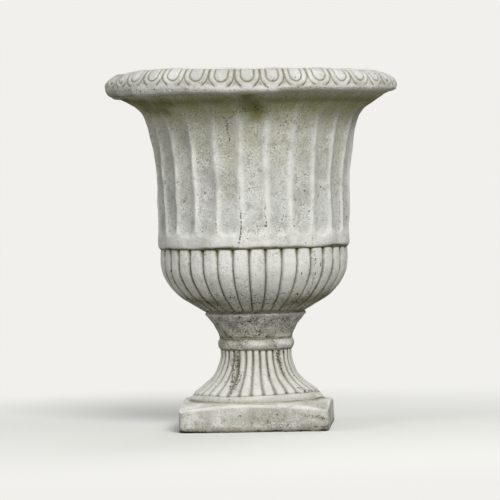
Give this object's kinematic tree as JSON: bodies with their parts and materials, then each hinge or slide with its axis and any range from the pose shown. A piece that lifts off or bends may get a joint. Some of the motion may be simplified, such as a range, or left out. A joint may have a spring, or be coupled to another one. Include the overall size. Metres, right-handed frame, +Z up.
{
  "type": "garden urn",
  "caption": "Campana-shaped cast stone garden urn: ovolo lip with egg and dart, fluted bell, gadrooned bowl, reeded foot and square plinth; open planting cavity and drain bore",
  "frame": {"origin": "middle of the plinth's underside, on the axis of the urn", "axes": "+Z up along the axis of the urn; the plinth's sides face +X, -X, +Y and -Y; -Y is the front"},
  "size_m": [0.37, 0.37, 0.45],
  "materials": {
    "foot_stone": "weathered cast stone, warm, dirt in the hollows",
    "neck_stone": "weathered cast stone, coarse and pitted",
    "bowl_stone": "weathered cast stone, olive dirt in the grooves",
    "bell_stone": "weathered cast stone, sandy grain with pinholes",
    "rim_stone": "weathered cast stone, carved lines darkened",
    "lime_mortar": "rough lime mortar, damp and mossy at the joint",
    "dowel_steel": "drawn stainless bar"
  },
  "bodies": {
    "root": {"plinth": "foot_stone", "reeded_foot": "foot_stone", "collar_ring": "neck_stone", "cavetto_neck": "neck_stone", "gadrooned_bowl": "bowl_stone", "fluted_bell": "bell_stone", "egg_and_dart_rim": "rim_stone", "mortar_on_plinth": "lime_mortar", "mortar_under_collar": "lime_mortar", "mortar_on_collar": "lime_mortar", "mortar_under_bowl": "lime_mortar", "mortar_under_bell": "lime_mortar", "mortar_under_rim": "lime_mortar", "foot_dowels": "dowel_steel", "stem_dowels": "dowel_steel", "bowl_dowels": "dowel_steel"}
  },
  "joints": []
}
